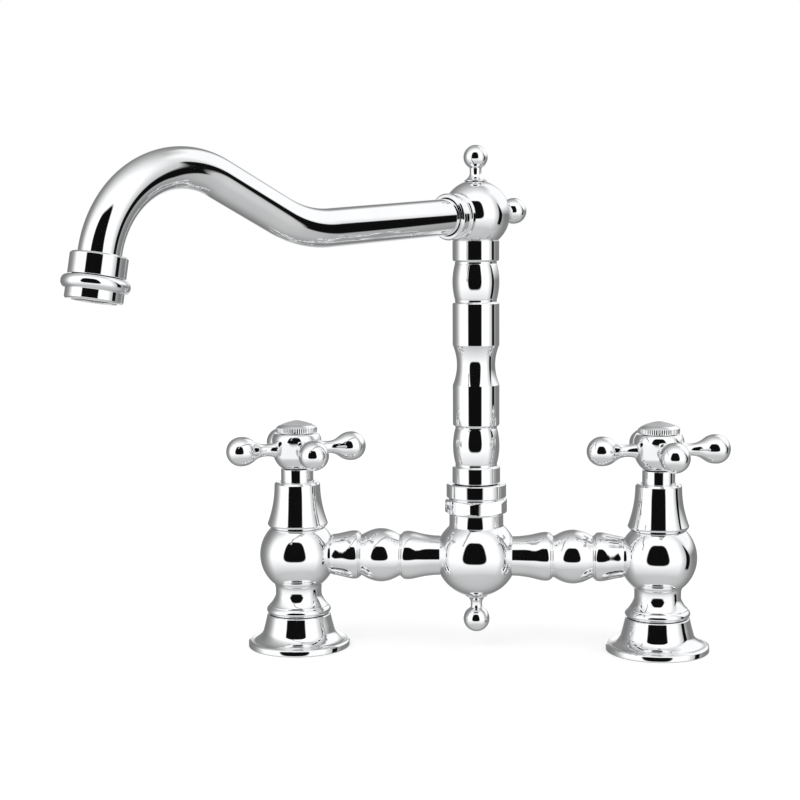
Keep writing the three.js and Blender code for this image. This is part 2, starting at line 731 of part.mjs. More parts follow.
// Ball head, about its own centre, with the spout's axis along +X, tilted down.
function head() {
  const seatHole = headSpigotRadius + runGap;
  const mouth = Math.sqrt(headCavityRadius ** 2 - seatHole ** 2);
  const studHole = finialSeat - studLength - seatGap;
  const outside = headRadius + 2;
  const shell = turned([
    ...ballArc(headCavityRadius, 0, -mouth, headCavityRadius, 3).reverse(),
    [seatHole, -headSeat], ...ballArc(headRadius, 0, -headSeat, finialSeat, 6),
    [studRadius + runGap, finialSeat], [studRadius + runGap, studHole], [0, studHole],
  ], upright);
  const collarBore = turned([
    [0, 0], [collarSpigotRadius + runGap, 0],
    [collarSpigotRadius + runGap, spoutCollarSeat - seatGap],
    [spoutCollarRadius + runGap, spoutCollarSeat - seatGap],
    [spoutCollarRadius + runGap, outside], [0, outside],
  ], middling);
  const rearHole = turned([
    [0, studHole], [studRadius + runGap, studHole], [studRadius + runGap, finialSeat],
    [headRadius / 2, finialSeat], [headRadius / 2, outside], [0, outside],
  ], slim);
  const drop = radians(spoutDrop);
  return cut(shell, alongX(collarBore).rotateY(drop), alongX(rearHole).rotateY(drop + Math.PI));
}

// Knob on a threaded stud, standing on the seat at z = 0.
function finial(ballRadius) {
  const centre = finialWaist + ballRadius;
  const neckTop = Math.sqrt(ballRadius ** 2 - (finialNeckRadius - 0.2) ** 2);
  return turned([
    [0, -studLength], [studRadius, -studLength], [studRadius, seatGap],
    [finialFlangeRadius, seatGap], [finialFlangeRadius, seatGap + 0.5],
    [finialNeckRadius + 0.9, 1.8], [finialNeckRadius, 3.8],
    ...ballArc(ballRadius, centre, -neckTop, ballRadius, 5),
  ], slim);
}

// Two-ringed collar on the head, about the spout's axis, measured from the head's centre.
function spoutCollar() {
  const back = spoutCollarSeat;
  const groove = back + collarRing;
  const front = groove + collarGap;
  const face = front + collarRing;
  const waist = spoutCollarRadius - 1.3;
  const bore = tubeRadius - tubeWall;
  return alongX(turnedRing([
    [bore, back - collarSpigotLength], [collarSpigotRadius, back - collarSpigotLength],
    [collarSpigotRadius, back], [spoutCollarRadius, back],
    [spoutCollarRadius, groove - 0.5], [waist, groove + 0.2],
    [waist, front - 0.2], [spoutCollarRadius, front + 0.5],
    [spoutCollarRadius, face - 0.9], [spoutCollarRadius - 0.9, face],
    [tubeRadius + tubePlay, face], [tubeRadius + tubePlay, collarTubeSeat - seatGap],
    [bore, collarTubeSeat - seatGap],
  ], middling));
}

// ---------------------------------------------------------------- spout tube

// The tube's centre line in the upright X-Z plane: straight runs and bends end to end.
const archTurn = radians(climb + 90 - outletLean);
const lowerTurn = radians(climb + spoutDrop);
const spoutRuns = [
  { length: tubeSocketDepth + firstRun, turn: 0 },
  { length: lowerBendRadius * lowerTurn, turn: lowerTurn },
  { length: middleRun, turn: 0 },
  { length: archRadius * archTurn, turn: -archTurn },
  { length: tubeSocketDepth, turn: 0 },
];

class SpoutLine extends THREE.Curve {
  getPoint(t, target = new THREE.Vector3()) {
    const total = spoutRuns.reduce((sum, run) => sum + run.length, 0);
    let left = t * total;
    let heading = -radians(spoutDrop);
    let x = collarTubeSeat * Math.cos(heading);
    let z = headZ + collarTubeSeat * Math.sin(heading);
    for (const { length, turn } of spoutRuns) {
      const along = Math.min(left, length);
      const swing = turn * along / length;
      const chord = turn ? 2 * Math.sin(swing / 2) * length / turn : along;
      x += chord * Math.cos(heading + swing / 2);
      z += chord * Math.sin(heading + swing / 2);
      heading += swing;
      left -= along;
    }
    return target.set(x, 0, z);
  }
}

function spoutTube() {
  const section = new THREE.Shape().absarc(0, 0, tubeRadius, 0, 2 * Math.PI);
  section.holes.push(new THREE.Path().absarc(0, 0, tubeRadius - tubeWall, 0, 2 * Math.PI));
  return new THREE.ExtrudeGeometry(section, {
    steps: tubeSteps, curveSegments: tubeSides / 2, bevelEnabled: false, extrudePath: new SpoutLine(),
  });
}

// ---------------------------------------------------------------- outlet

// The outlet's pieces are turned about its axis; z grows downstream from the sleeve's rim.
const outletThreadEnd = sleeveHeight + outletThreadHeight;
const washerZ = outletThreadEnd + seatGap;
const insertZ = washerZ + washerThickness + seatGap;
const outletLipZ = insertZ + insertHeight + seatGap;

function outletSleeve() {
  const bore = tubeRadius - tubeWall;
  const seat = tubeSocketDepth + seatGap;
  return turnedRing([
    [tubeRadius + tubePlay, 0], [sleeveOuter - 0.8, 0], [sleeveOuter, 0.8],
    [sleeveOuter, sleeveHeight], [outletThread, sleeveHeight],
    [outletThread, outletThreadEnd], [bore, outletThreadEnd], [bore, seat],
    [tubeRadius + tubePlay, seat],
  ], middling);
}

function outletShell() {
  const top = sleeveHeight + seatGap;
  const ringEnd = top + beadRingHeight;
  const mouth = outletLipZ + 0.9;
  const bore = outletThread + runGap;
  return turnedRing([
    [bore, top], [sleeveOuter, top],
    ...swell([sleeveOuter + 0.6, top + 0.3], [sleeveOuter + 0.6, ringEnd - 0.3], beadRingRadius, 3),
    [outletSkirtRadius, ringEnd],
    [outletSkirtRadius, mouth - 0.6], [outletSkirtRadius - 0.6, mouth],
    [bore - 1.2, mouth], [bore - 1.2, outletLipZ], [bore, outletLipZ],
  ], middling);
}

function outletWasher() {
  return plainRing(tubeRadius - tubeWall, outletThread, washerZ, washerZ + washerThickness,
    middling);
}

// Flow straightener: a plug with seven six-sided cells.
function outletInsert() {
  const top = insertZ + insertHeight;
  const pitch = insertCell * Math.sqrt(3) + insertRib;
  const hole = (x, y) => new THREE.CylinderGeometry(insertCell, insertCell, insertHeight + 2, 6)
    .rotateX(Math.PI / 2).translate(x, y, (insertZ + top) / 2);
  const cells = Array.from({ length: 6 }, (_, i) => {
    const angle = Math.PI / 6 + i * Math.PI / 3;
    return hole(pitch * Math.cos(angle), pitch * Math.sin(angle));
  });
  return cut(plainRod(outletThread, insertZ, top, middling), hole(0, 0), ...cells);
}

// ---------------------------------------------------------------- assembly

const finish = (color, roughness, metalness) => (
  new THREE.MeshStandardMaterial({ color, roughness, metalness })
);
const chrome = finish(0xdfe1e4, 0.05, 1);
const brass = finish(0xc79a4b, 0.35, 1);
const steel = finish(0xb4b6b8, 0.3, 1);
const rubber = finish(0x1b1b1c, 0.85, 0);
const ceramic = finish(0xe9e4da, 0.3, 0);
const acetal = finish(0xe8e8e4, 0.5, 0);
const porcelain = finish(0xe6e7e8, 0.15, 0);

const faucet = new THREE.Group();

function group(parent, x = 0, z = 0, turn = 0) {
  const made = new THREE.Group();
  made.position.set(x, 0, z);
  made.rotation.z = turn;
  parent.add(made);
  return made;
}

function piece(parent, name, geometry, material) {
  const mesh = new THREE.Mesh(weld(geometry), material);
  mesh.name = name;
  parent.add(mesh);
}

// One valve: the fixed pieces face the bridge, the turning ones take the handle's angle.
function addValve(side, x, facing, handleTurn) {
  const fixed = group(faucet, x, 0, facing);
  const turning = group(faucet, x, 0, handleTurn);
  piece(fixed, `${side}_foot`, foot(), chrome);
  piece(fixed, `${side}_deck_gasket`, gasket(), rubber);
  piece(fixed, `${side}_valve_body`, valveBody(), chrome);
  piece(fixed, `${side}_inlet_shank`, inletShank(), brass);
  piece(fixed, `${side}_cartridge_body`, cartridgeBody(), brass);
  piece(fixed, `${side}_seat_seal`, seatSeal(), rubber);
  piece(fixed, `${side}_spindle_o_ring`, spindleORing(), rubber);
  piece(fixed, `${side}_bonnet`, bonnet(), chrome);
  piece(turning, `${side}_fixed_disc`, fixedDisc(), ceramic);
  piece(turning, `${side}_moving_disc`, movingDisc(), ceramic);
  piece(turning, `${side}_spindle`, spindle(), brass);
  piece(turning, `${side}_handle_sleeve`, handleSleeve(), chrome);
  piece(turning, `${side}_cross_handle`, crossHandle(), chrome);
  piece(turning, `${side}_handle_screw`, handleScrew(), steel);
  piece(turning, `${side}_index_ring`, indexRing(), chrome);
  piece(turning, `${side}_index_dome`, indexDome(), porcelain);
}

function addArm(side, facing) {
  const arm = group(faucet, 0, 0, facing);
  piece(arm, `${side}_bridge_arm`, bridgeArm(), chrome);
  piece(arm, `${side}_arm_centre_seal`, armSeal(innerSpigotEnd), rubber);
  piece(arm, `${side}_arm_valve_seal`, armSeal(outerSpigotEnd - oRing), rubber);
}

function addCentre() {
  piece(faucet, 'centre_body', centreBody(), chrome);
  piece(faucet, 'union_nut', unionNut(), chrome);
  piece(faucet, 'swivel_bush', swivelBush(), acetal);
  piece(faucet, 'bottom_finial',
    finial(sideFinialBall).rotateX(Math.PI).translate(0, 0, centreFlatZ), chrome);
}

function addSpout() {
  const spout = group(faucet, 0, 0, radians(spoutAngle));
  piece(spout, 'column', column(), chrome);
  piece(spout, 'column_retaining_ring', retainingRing(), steel);
  piece(spout, 'column_lower_o_ring', columnORingAt(0), rubber);
  piece(spout, 'column_upper_o_ring', columnORingAt(1), rubber);
  piece(spout, 'head', head().translate(0, 0, headZ), chrome);
  piece(spout, 'top_finial', finial(topFinialBall).translate(0, 0, headZ + finialSeat), chrome);
  piece(spout, 'spout_tube', spoutTube(), chrome);

  const axis = group(spout, 0, headZ);
  axis.rotation.y = radians(spoutDrop);
  piece(axis, 'spout_collar', spoutCollar(), chrome);
  const rearKnob = alongX(finial(sideFinialBall).translate(0, 0, finialSeat)).rotateY(Math.PI);
  piece(axis, 'rear_finial', rearKnob, chrome);

  const end = new SpoutLine().getPoint(1);
  const outlet = group(spout, end.x - tubeSocketDepth * Math.sin(radians(outletLean)),
    end.z + tubeSocketDepth * Math.cos(radians(outletLean)));
  outlet.rotation.y = Math.PI - radians(outletLean);
  piece(outlet, 'outlet_sleeve', outletSleeve(), chrome);
  piece(outlet, 'outlet_shell', outletShell(), chrome);
  piece(outlet, 'outlet_washer', outletWasher(), rubber);
  piece(outlet, 'outlet_insert', outletInsert(), acetal);
}

addValve('hot', -inletSpacing / 2, 0, radians(hotHandleAngle));
addValve('cold', inletSpacing / 2, Math.PI, radians(coldHandleAngle));
addArm('cold', 0);
addArm('hot', Math.PI);
addCentre();
addSpout();

export default faucet;
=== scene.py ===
# Looks of the bridge kitchen faucet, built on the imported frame.
# Profiles are in millimetres; meshes are in metres, in the frame's own place.

import json
import math

import bmesh
import bpy
from mathutils import Matrix, Vector


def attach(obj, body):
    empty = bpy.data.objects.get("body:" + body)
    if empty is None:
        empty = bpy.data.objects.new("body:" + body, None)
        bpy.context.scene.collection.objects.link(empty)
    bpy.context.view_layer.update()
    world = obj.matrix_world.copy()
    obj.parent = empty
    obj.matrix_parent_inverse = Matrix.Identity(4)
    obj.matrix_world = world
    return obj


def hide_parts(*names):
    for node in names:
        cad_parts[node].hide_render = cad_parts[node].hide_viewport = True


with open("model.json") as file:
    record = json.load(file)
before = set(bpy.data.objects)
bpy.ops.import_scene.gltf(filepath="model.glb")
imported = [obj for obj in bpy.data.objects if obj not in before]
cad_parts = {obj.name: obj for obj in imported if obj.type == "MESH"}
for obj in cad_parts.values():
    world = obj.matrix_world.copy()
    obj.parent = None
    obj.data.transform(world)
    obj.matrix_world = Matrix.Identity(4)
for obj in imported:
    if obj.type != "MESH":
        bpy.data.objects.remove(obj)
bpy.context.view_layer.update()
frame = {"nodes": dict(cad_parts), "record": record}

MM = 0.001               # a millimetre in the frame's metres
INLET = 101.6            # the middle to each inlet's axis
BRIDGE = 53.0            # deck to the bridge's axis
ARM_Z = 113.5            # deck to the axes of a handle's arms
HEAD_Z = 244.6           # deck to the centre of the ball head
HEAD_SEAT = 17.9         # the head's centre to the seat of a finial on it

HOT_TURN = 25.0          # turn of the hot cross handle, degrees
COLD_TURN = 11.0         # turn of the cold cross handle, degrees
NUT_TURN = 21.2          # turn of the union nut's corners, degrees
SPOUT_ANGLE = -130.0     # spout's heading from +X, degrees
SPOUT_DROP = 3.7         # fall of the spout's first run, degrees

TUBE_RADIUS = 9.95
TUBE_START = 17.7        # the head's centre to the tube's end inside the collar
FIRST_RUN = 92.9         # the tube's straight stretches
SECOND_RUN = 41.6
LAST_RUN = 6.0
LOWER_BEND = 69.2        # radii of its two bends
UPPER_BEND = 48.4
LOWER_BEND_ANGLE = 28.3  # how far they turn it, degrees
UPPER_BEND_ANGLE = 103.9

VIEW_AZIMUTH = 4.8       # camera's place round the object, degrees
VIEW_HEIGHT = 5.9        # camera's height above the horizon, degrees
VIEW_ROLL = -0.4         # camera's turn about its own line of sight, degrees
VIEW_DISTANCE = 0.89963  # metres
VIEW_TARGET = Vector((-0.04274, 0, 0.1413))
LENS = 72.0
SENSOR = 36.0

REFLECTED = 1.25         # strength of all that the metal reflects
DARK = (0.004, 0.004, 0.004, 1)
BACK_LIGHT = (0.85, 0.85, 0.85, 1)
SIDE_LIGHT = (0.88, 0.88, 0.88, 1)
WHITE = (1, 1, 1, 1)
SOFT_LIGHT = 0.75        # strength of the white world on all that isn't polished
FLOOR_HALF = 30.0        # half the floor's side, metres
FLOOR_GLOW = 0.44        # lifts the floor to the background's white, for the camera alone
LAMP_SIZE = 0.9
LAMP_AIM = Vector((0, 0, 0.1))


# ---------------------------------------------------------------- profiles

def swell(start, end, crown, steps):
    """Even swell between two profile points, up to a crown radius halfway."""
    (r0, z0), (r1, z1) = start, end
    points = []
    for i in range(steps + 1):
        s = i / steps
        rise = 4 * s * (1 - s) * (crown - (r0 + r1) / 2)
        points.append((r0 + (r1 - r0) * s + rise, z0 + (z1 - z0) * s))
    return points


def ball(radius, centre, low, high, steps):
    """Part of a ball's outline between two heights above its centre."""
    start, end = math.asin(low / radius), math.asin(high / radius)
    points = []
    for i in range(steps + 1):
        t = start + (end - start) * i / steps
        points.append((max(radius * math.cos(t), 0.0), centre + radius * math.sin(t)))
    return points


def curve(start, leave, end, arrive, steps):
    """Smooth line between two profile points with its direction given at both ends."""
    points = []
    for i in range(steps + 1):
        t = i / steps
        a, b = 2 * t**3 - 3 * t**2 + 1, t**3 - 2 * t**2 + t
        c, d = -2 * t**3 + 3 * t**2, t**3 - t**2
        points.append(tuple(
            a * start[k] + b * leave[k] + c * end[k] + d * arrive[k] for k in (0, 1)))
    return points


def softened(points, radius, closed):
    """Rounds a profile's sharp corners; a point close beside each rounding keeps the rest flat."""
    least_turn, arc_step, most_turn = math.radians(17), math.radians(14), 3.0
    share, hold = 0.42, 0.14    # most of a side that a rounding takes, and the point's distance
    result = []
    count = len(points)
    for i, point in enumerate(points):
        p = Vector(point)
        if not closed and i in (0, count - 1):
            result.append(p)
            continue
        before, after = p - Vector(points[i - 1]), Vector(points[(i + 1) % count]) - p
        turn = after.angle_signed(before)
        if abs(turn) < least_turn:
            result.append(p)
            continue
        half = math.tan(min(abs(turn), most_turn) / 2)
        reach = min(radius * half, share * before.length, share * after.length)
        into, away = before.normalized(), after.normalized()
        if before.length > 2 * (reach + hold):
            result.append(p - into * (reach + hold))
        steps = max(3, math.ceil(abs(turn) / arc_step))
        side = Vector((-into.y, into.x)) * (1 if turn > 0 else -1)
        first = p - into * reach
        centre = first + side * reach / half
        for k in range(steps + 1):
            result.append(centre + Matrix.Rotation(turn * k / steps, 2) @ (first - centre))
        if after.length > 2 * (reach + hold):
            result.append(p + away * (reach + hold))
    return result


# ---------------------------------------------------------------- meshes

def make_object(name, points, faces):
    mesh = bpy.data.meshes.new(name)
    mesh.from_pydata(points, [], faces)
    mesh.update()
    mesh.shade_smooth()
    made = bpy.data.objects.new(name, mesh)
    bpy.context.scene.collection.objects.link(made)
    return made


def sharpen(obj, degrees):
    """Smooth shading that stops at edges steeper than the angle."""
    obj.data.shade_smooth()
    mesh = bmesh.new()
    mesh.from_mesh(obj.data)
    for item in mesh.edges:
        steep = len(item.link_faces) == 2 and item.calc_face_angle() > math.radians(degrees)
        item.smooth = not steep
    mesh.to_mesh(obj.data)
    mesh.free()


def turned(name, points, segments=96, closed=False, edge=0.4, knurl=None):
    """A body turned about Z. knurl(angle, r, z) gives the radius of a worked surface."""
    rows = softened(points, edge, closed)
    verts, rings, faces = [], [], []
    for p in rows:
        if p.x < 1e-6:
            rings.append([len(verts)])
            verts.append((0, 0, p.y * MM))
            continue
        rings.append(list(range(len(verts), len(verts) + segments)))
        for j in range(segments):
            a = 2 * math.pi * j / segments
            r = knurl(a, p.x, p.y) if knurl else p.x
            verts.append((r * MM * math.cos(a), r * MM * math.sin(a), p.y * MM))
    pairs = list(zip(rings, rings[1:]))
    if closed:
        pairs.append((rings[-1], rings[0]))
    for low, high in pairs:
        for j in range(segments):
            k = (j + 1) % segments
            if len(low) == 1 and len(high) == 1:
                break
            if len(low) == 1:
                faces.append((low[0], high[k], high[j]))
            elif len(high) == 1:
                faces.append((low[j], low[k], high[0]))
            else:
                faces.append((low[j], low[k], high[k], high[j]))
    return make_object(name, verts, faces)


def joined(name, parts):
    """One object from several closed bodies."""
    mesh = bmesh.new()
    for part in parts:
        mesh.from_mesh(part.data)
    result = make_object(name, [], [])
    mesh.to_mesh(result.data)
    mesh.free()
    result.data.shade_smooth()
    for part in parts:
        bpy.data.objects.remove(part)
    return result


def put(obj, matrix, body, slot, node):
    """Places a piece, gives it its material and lets it stand for its CAD node."""
    obj.data.transform(matrix)
    obj.data.update()
    obj.data.materials.append(finishes[slot])
    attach(obj, body)
    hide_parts(node)


def at(x=0.0, z=0.0, turn=0.0):
    """Moves by millimetres along X and Z, after a turn in degrees about Z."""
    return Matrix.Translation((x * MM, 0, z * MM)) @ Matrix.Rotation(math.radians(turn), 4, "Z")


ALONG_X = Matrix.Rotation(math.radians(90), 4, "Y")   # lays a turned body's axis along X


# ---------------------------------------------------------------- materials

def new_material(name):
    material = bpy.data.materials.new(name)
    material.use_nodes = True
    tree = material.node_tree
    shader = tree.nodes["Principled BSDF"]
    place = tree.nodes.new("ShaderNodeTexCoord").outputs["Object"]
    return material, tree, shader, place


def noise(tree, place, scale, detail=3.0, roughness=0.5, stretch=(1, 1, 1)):
    """Noise over the object's own place; scale is in patches per metre."""
    texture = tree.nodes.new("ShaderNodeTexNoise")
    texture.inputs["Scale"].default_value = scale
    texture.inputs["Detail"].default_value = detail
    texture.inputs["Roughness"].default_value = roughness
    mapping = tree.nodes.new("ShaderNodeMapping")
    mapping.inputs["Scale"].default_value = stretch
    tree.links.new(place, mapping.inputs["Vector"])
    tree.links.new(mapping.outputs["Vector"], texture.inputs["Vector"])
    return texture.outputs["Fac"]


def ramp(tree, factor, stops):
    """Colour ramp; stops are (place, value) or (place, (r, g, b))."""
    node = tree.nodes.new("ShaderNodeValToRGB")
    elements = node.color_ramp.elements
    while len(elements) < len(stops):
        elements.new(0.5)
    for element, (place, value) in zip(elements, stops):
        element.position = place
        colour = value if isinstance(value, tuple) else (value, value, value)
        element.color = (*colour, 1)
    tree.links.new(factor, node.inputs["Fac"])
    return node.outputs["Color"]


def bump(tree, shader, height, depth):
    """Bump of the given depth in metres, on the shader's normal."""
    node = tree.nodes.new("ShaderNodeBump")
    node.inputs["Distance"].default_value = depth
    tree.links.new(height, node.inputs["Height"])
    tree.links.new(node.outputs["Normal"], shader.inputs["Normal"])


def metal(name, dark, pale, polish, marks, depth, stretch=(1, 1, 1)):
    """Metal with faint clouding, a varying polish and a fine surface."""
    material, tree, shader, place = new_material(name)
    shader.inputs["Metallic"].default_value = 1.0
    clouds = noise(tree, place, 45, 4)
    tree.links.new(ramp(tree, clouds, [(0.3, dark), (0.7, pale)]), shader.inputs["Base Color"])
    smears = noise(tree, place, 120, 6, 0.65, stretch)
    tree.links.new(ramp(tree, smears, [(0.35, polish[0]), (0.8, polish[1])]),
                   shader.inputs["Roughness"])
    bump(tree, shader, noise(tree, place, marks, 2, 0.5, stretch), depth)
    return material


def dull(name, dark, pale, rough, grain, depth, specular=0.4):
    """Moulded or fired material: slight colour clouds, uneven gloss and a fine grain."""
    material, tree, shader, place = new_material(name)
    shader.inputs["Specular IOR Level"].default_value = specular
    clouds = noise(tree, place, 60, 4)
    tree.links.new(ramp(tree, clouds, [(0.3, dark), (0.7, pale)]), shader.inputs["Base Color"])
    spread = noise(tree, place, 300, 5)
    tree.links.new(ramp(tree, spread, [(0.3, rough[0]), (0.7, rough[1])]),
                   shader.inputs["Roughness"])
    bump(tree, shader, noise(tree, place, grain, 3), depth)
    return material


finishes = {
    "chrome": metal("polished_chrome", (0.86, 0.868, 0.88), (0.91, 0.915, 0.922),
                    (0.018, 0.05), 260, 0.0000012),
    "brass": metal("machined_brass", (0.66, 0.47, 0.2), (0.8, 0.6, 0.3),
                   (0.22, 0.38), 900, 0.00001, (1, 1, 12)),
    "steel": metal("machined_steel", (0.55, 0.55, 0.56), (0.72, 0.72, 0.73),
                   (0.2, 0.34), 900, 0.00001, (1, 1, 12)),
    "rubber": dull("sealing_rubber", (0.018, 0.018, 0.019), (0.04, 0.04, 0.042),
                   (0.6, 0.85), 2600, 0.00002),
    "ceramic": dull("fired_ceramic", (0.8, 0.77, 0.7), (0.9, 0.88, 0.83),
                    (0.12, 0.3), 1800, 0.000004, 0.5),
    "acetal": dull("moulded_acetal", (0.74, 0.74, 0.71), (0.85, 0.85, 0.83),
                   (0.35, 0.55), 1500, 0.00001),
    "porcelain": dull("glazed_index", (0.5, 0.507, 0.517), (0.57, 0.577, 0.585),
                      (0.06, 0.14), 700, 0.000004, 0.6),
}


# ---------------------------------------------------------------- feet and valves

def foot(name):
    return turned(name, [
        (17.8, 0), (19.3, 0), (19.3, 1.5), (22.8, 1.5), (22.8, 0), (28.6, 0), (29, 0.4),
        *curve((29, 2.9), (0, 1.3), (27.4, 4.1), (-1.9, 0.05), 8),
        *curve((27.2, 4.1), (-7, 0.1), (20.4, 9.4), (-0.7, 7), 20),
        (19.3, 13.4), (18.1, 18.5), (17.7, 19), (11.3, 19), (11.3, 16.4), (15.2, 15.4), (17.7, 7),
    ], 128, True, 0.5)


def valve_body(name):
    return turned(name, [
        (11.3, 19.3), (17, 19.3),
        *swell((17.4, 19.5), (17.4, 23.3), 18.35, 12),
        (17.0, 23.7), (16.9, 24.1),
        *curve((16.6, 24.3), (-2.6, 1.6), (13.15, 30.4), (0, 5.2), 16),
        *curve((13.15, 30.4), (0, 3), (13.75, 35.7), (2.4, 3.6), 8)[1:],
        *ball(21.8, BRIDGE, -16.5, 15.6, 40),
        (10.2, 68.6), (10.2, 46), (5.5, 46), (5.5, 24.3), (11.3, 24.3),
    ], 128, True, 0.35)


def bonnet(name):
    return turned(name, [
        (12.9, 68.9), (15.9, 68.9), (16.9, 70.1),
        *swell((17.25, 71), (13.1, 91.9), 14.25, 28),
        (13.05, 93.6), (12.1, 94.9), (9.5, 94.9), (9.5, 92.3), (11.2, 92.3), (12.9, 74.3),
    ], 96, True, 0.5)


def handle_sleeve(name):
    return turned(name, [(7, 92.3), (9.2, 92.3), (9.2, 102.3), (7, 102.3)], 96, True, 0.35)


def handle_arm(name):
    return turned(name, [
        (0, 9), (5.2, 9),
        *curve((5, 10.6), (-0.9, 11.3), (3.5, 18.2), (0, 15), 14),
        *curve((3.5, 18.2), (0, 21.7), (8.4, 32.5), (0, 22), 24)[1:],
        *ball(8.4, 32.5, 0, 8.4, 20)[1:],
    ], 64)


def cross_handle(name):
    """Hub with four arms at right angles."""
    hub = turned(name + "_hub", [
        (2.2, 102.6), (8.2, 102.6),
        *curve((8.7, 102.8), (5.2, 1.5), (13.35, 109.8), (0.4, 6.5), 20),
        *curve((13.35, 109.8), (0.45, 6), (14.05, 118.8), (0.1, 4.5), 8)[1:],
        *curve((14.05, 118.8), (-0.05, 3), (12.2, 122.6), (-2.6, 0.4), 10)[1:],
        (9, 122.6), (9, 116.1), (2.2, 116.1),
    ], 96, True, 0.5)
    arms = []
    for i in range(4):
        arm = handle_arm(f"{name}_arm_{i}")
        turn = Matrix.Rotation(i * math.pi / 2, 4, "Z")
        arm.data.transform(at(0, ARM_Z) @ turn @ ALONG_X)
        arms.append(arm)
    return joined(name, [hub, *arms])


def index_ring(name):
    """Ring with a knurled edge under a bevel."""
    low, high, inner, count, depth = 123.2, 125.9, 10.6, 60, 0.09

    def teeth(angle, r, z):
        band = low < z < high and r > inner
        return r - (depth - depth * math.cos(count * angle) if band else 0)
    return turned(name, [
        (6.5, 119), (8.7, 119), (8.7, 122.9), (11.4, 122.9), (11.55, 123.1), (11.6, 123.3),
        (11.6, 124.5), (11.6, 125.8), (11.5, 125.95), (11.3, 126.1),
        *curve((11.1, 126.25), (-0.6, 0.7), (9.2, 127.5), (-1, 0.15), 8),
        (8.6, 127.5), (8.6, 125.9), (6.5, 125.9),
    ], 480, True, 0.15, teeth)


def index_dome(name):
    return turned(name, [
        (0, 126.2), (8.3, 126.2), (8.3, 127.4),
        *curve((8.2, 127.7), (-0.7, 1.2), (0, 129.8), (-7, 0), 20),
    ], 96, False, 0.2)


def bridge_arm(name):
    """Arm along its own axis, z from the bridge's middle: a ball between two lips."""
    middle = 54.14              # the ball's middle
    crown = 15.3                # the ball's middle to each lip

    def lip(place, side):
        """From the ball's side over the lip and down its slope; side is the slope's way."""
        return [
            (11.85, place - side * 4.4), (11.9, place - side * 4.05),
            (12.6, place - side * 3.7), (12.75, place - side * 3.2),
            (13.45, place - side * 2.7), (13.8, place - side * 1.7), (13.93, place - side * 0.7),
            (13.95, place + side * 0.3), (13.85, place + side * 1.6), (13.55, place + side * 3.3),
            (13.1, place + side * 5.2), (12.6, place + side * 7.3), (12.1, place + side * 9.6),
            (11.75, place + side * 12),
        ]
    return turned(name, [
        (6.5, 11.7), (9, 11.7), (9, 17.5), (10.7, 19.6), (11.25, 20.3), (11.4, 24),
        *reversed(lip(middle - crown, -1)),
        *swell((11.85, middle - 10.6), (11.85, middle + 10.6), 15.35, 34)[1:-1],
        *lip(middle + crown, 1),
        (11.25, 82.6), (10.7, 83.4), (9, 84.5), (9, 90.2), (6.5, 90.2),
    ], 96, True, 0.3)


for side, x, turn_by, way in (("hot", -INLET, HOT_TURN, 180.0), ("cold", INLET, COLD_TURN, 0.0)):
    body = side + "_handle"
    put(foot(f"{side}_foot_fine"), at(x), "base", "chrome", f"{side}_foot")
    put(valve_body(f"{side}_valve_body_fine"), at(x), "base", "chrome", f"{side}_valve_body")
    put(bonnet(f"{side}_bonnet_fine"), at(x), "base", "chrome", f"{side}_bonnet")
    put(handle_sleeve(f"{side}_sleeve_fine"), at(x), body, "chrome", f"{side}_handle_sleeve")
    put(cross_handle(f"{side}_handle_fine"), at(x, 0, turn_by), body, "chrome",
        f"{side}_cross_handle")
    put(index_ring(f"{side}_index_ring_fine"), at(x), body, "chrome", f"{side}_index_ring")
    put(index_dome(f"{side}_index_dome_fine"), at(x), body, "porcelain", f"{side}_index_dome")
    put(bridge_arm(f"{side}_bridge_arm_fine"), at(0, BRIDGE, way) @ ALONG_X, "base", "chrome",
        f"{side}_bridge_arm")


# ---------------------------------------------------------------- centre and union

def finial(name, radius):
    """Knob on its flange; z is measured from the seat."""
    return turned(name, [
        (0, -5), (3, -5), (3, 0.3), (6.35, 0.3), (6.4, 0.75),
        *curve((5.9, 1.1), (-2.6, 0.7), (3.25, 4.6), (-0.1, 4), 12),
        *ball(radius, 6.7 + radius, -math.sqrt(radius**2 - 3.3**2), radius, 34),
    ], 72, False, 0.35)


def centre_body(name):
    return turned(name, [
        (0, 36), (3.3, 36), (3.3, 30.9),
        *ball(23.2, BRIDGE, -22.1, 17.3, 46),
        (15.3, 71.3), (15.3, 77.2), (14.9, 77.6), (13.4, 77.6), (13.4, 86), (12, 86),
        (12, 70.7), (10.5, 70.7), (10.5, 42), (0, 42),
    ], 128, False, 0.45)


